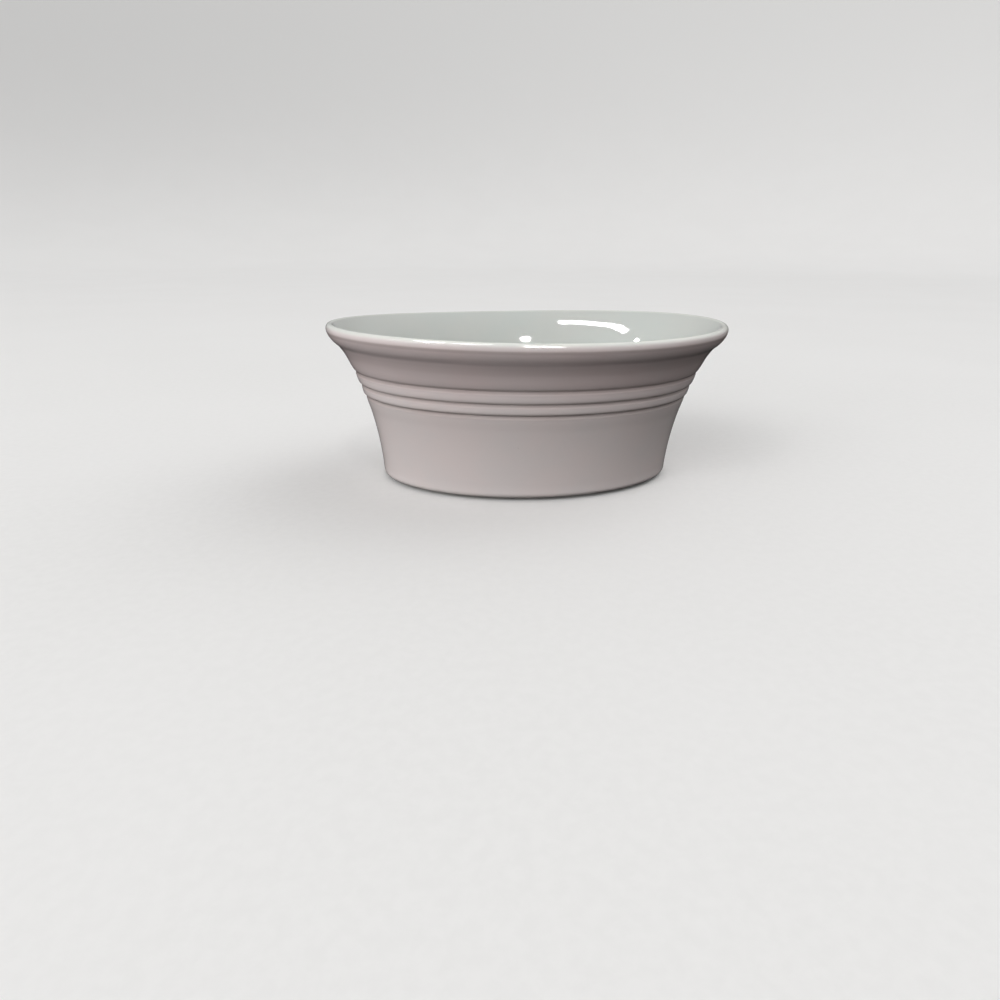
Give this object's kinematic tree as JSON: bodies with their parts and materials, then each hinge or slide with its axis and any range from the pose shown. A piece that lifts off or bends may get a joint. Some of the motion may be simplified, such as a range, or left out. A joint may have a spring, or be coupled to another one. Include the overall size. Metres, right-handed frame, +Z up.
{
  "type": "oval casserole dish",
  "caption": "Open oval ceramic baking dish with an outward-sweeping wall, fine ring grooves below a rounded lip, and a flat bare foot ring.",
  "frame": {"origin": "centre of the foot, on the plane the dish stands on", "axes": "+X along the oval's long axis, +Y across it, +Z up out of the bowl"},
  "size_m": [0.2, 0.1452, 0.0797],
  "materials": {
    "fired_clay": "bare fired stoneware, matt and slightly gritty, off-white",
    "gloss_glaze": "smooth glossy pale glaze, very slightly pink outside and more neutral in the bowl, thinner and lighter over the lip and the bands, pooled in the grooves",
    "base_glaze": "the same glaze on the underside, thinner and less even"
  },
  "bodies": {
    "root": {"stoneware_body": "fired_clay", "glaze_coat": "gloss_glaze", "base_glaze": "base_glaze"}
  },
  "joints": []
}
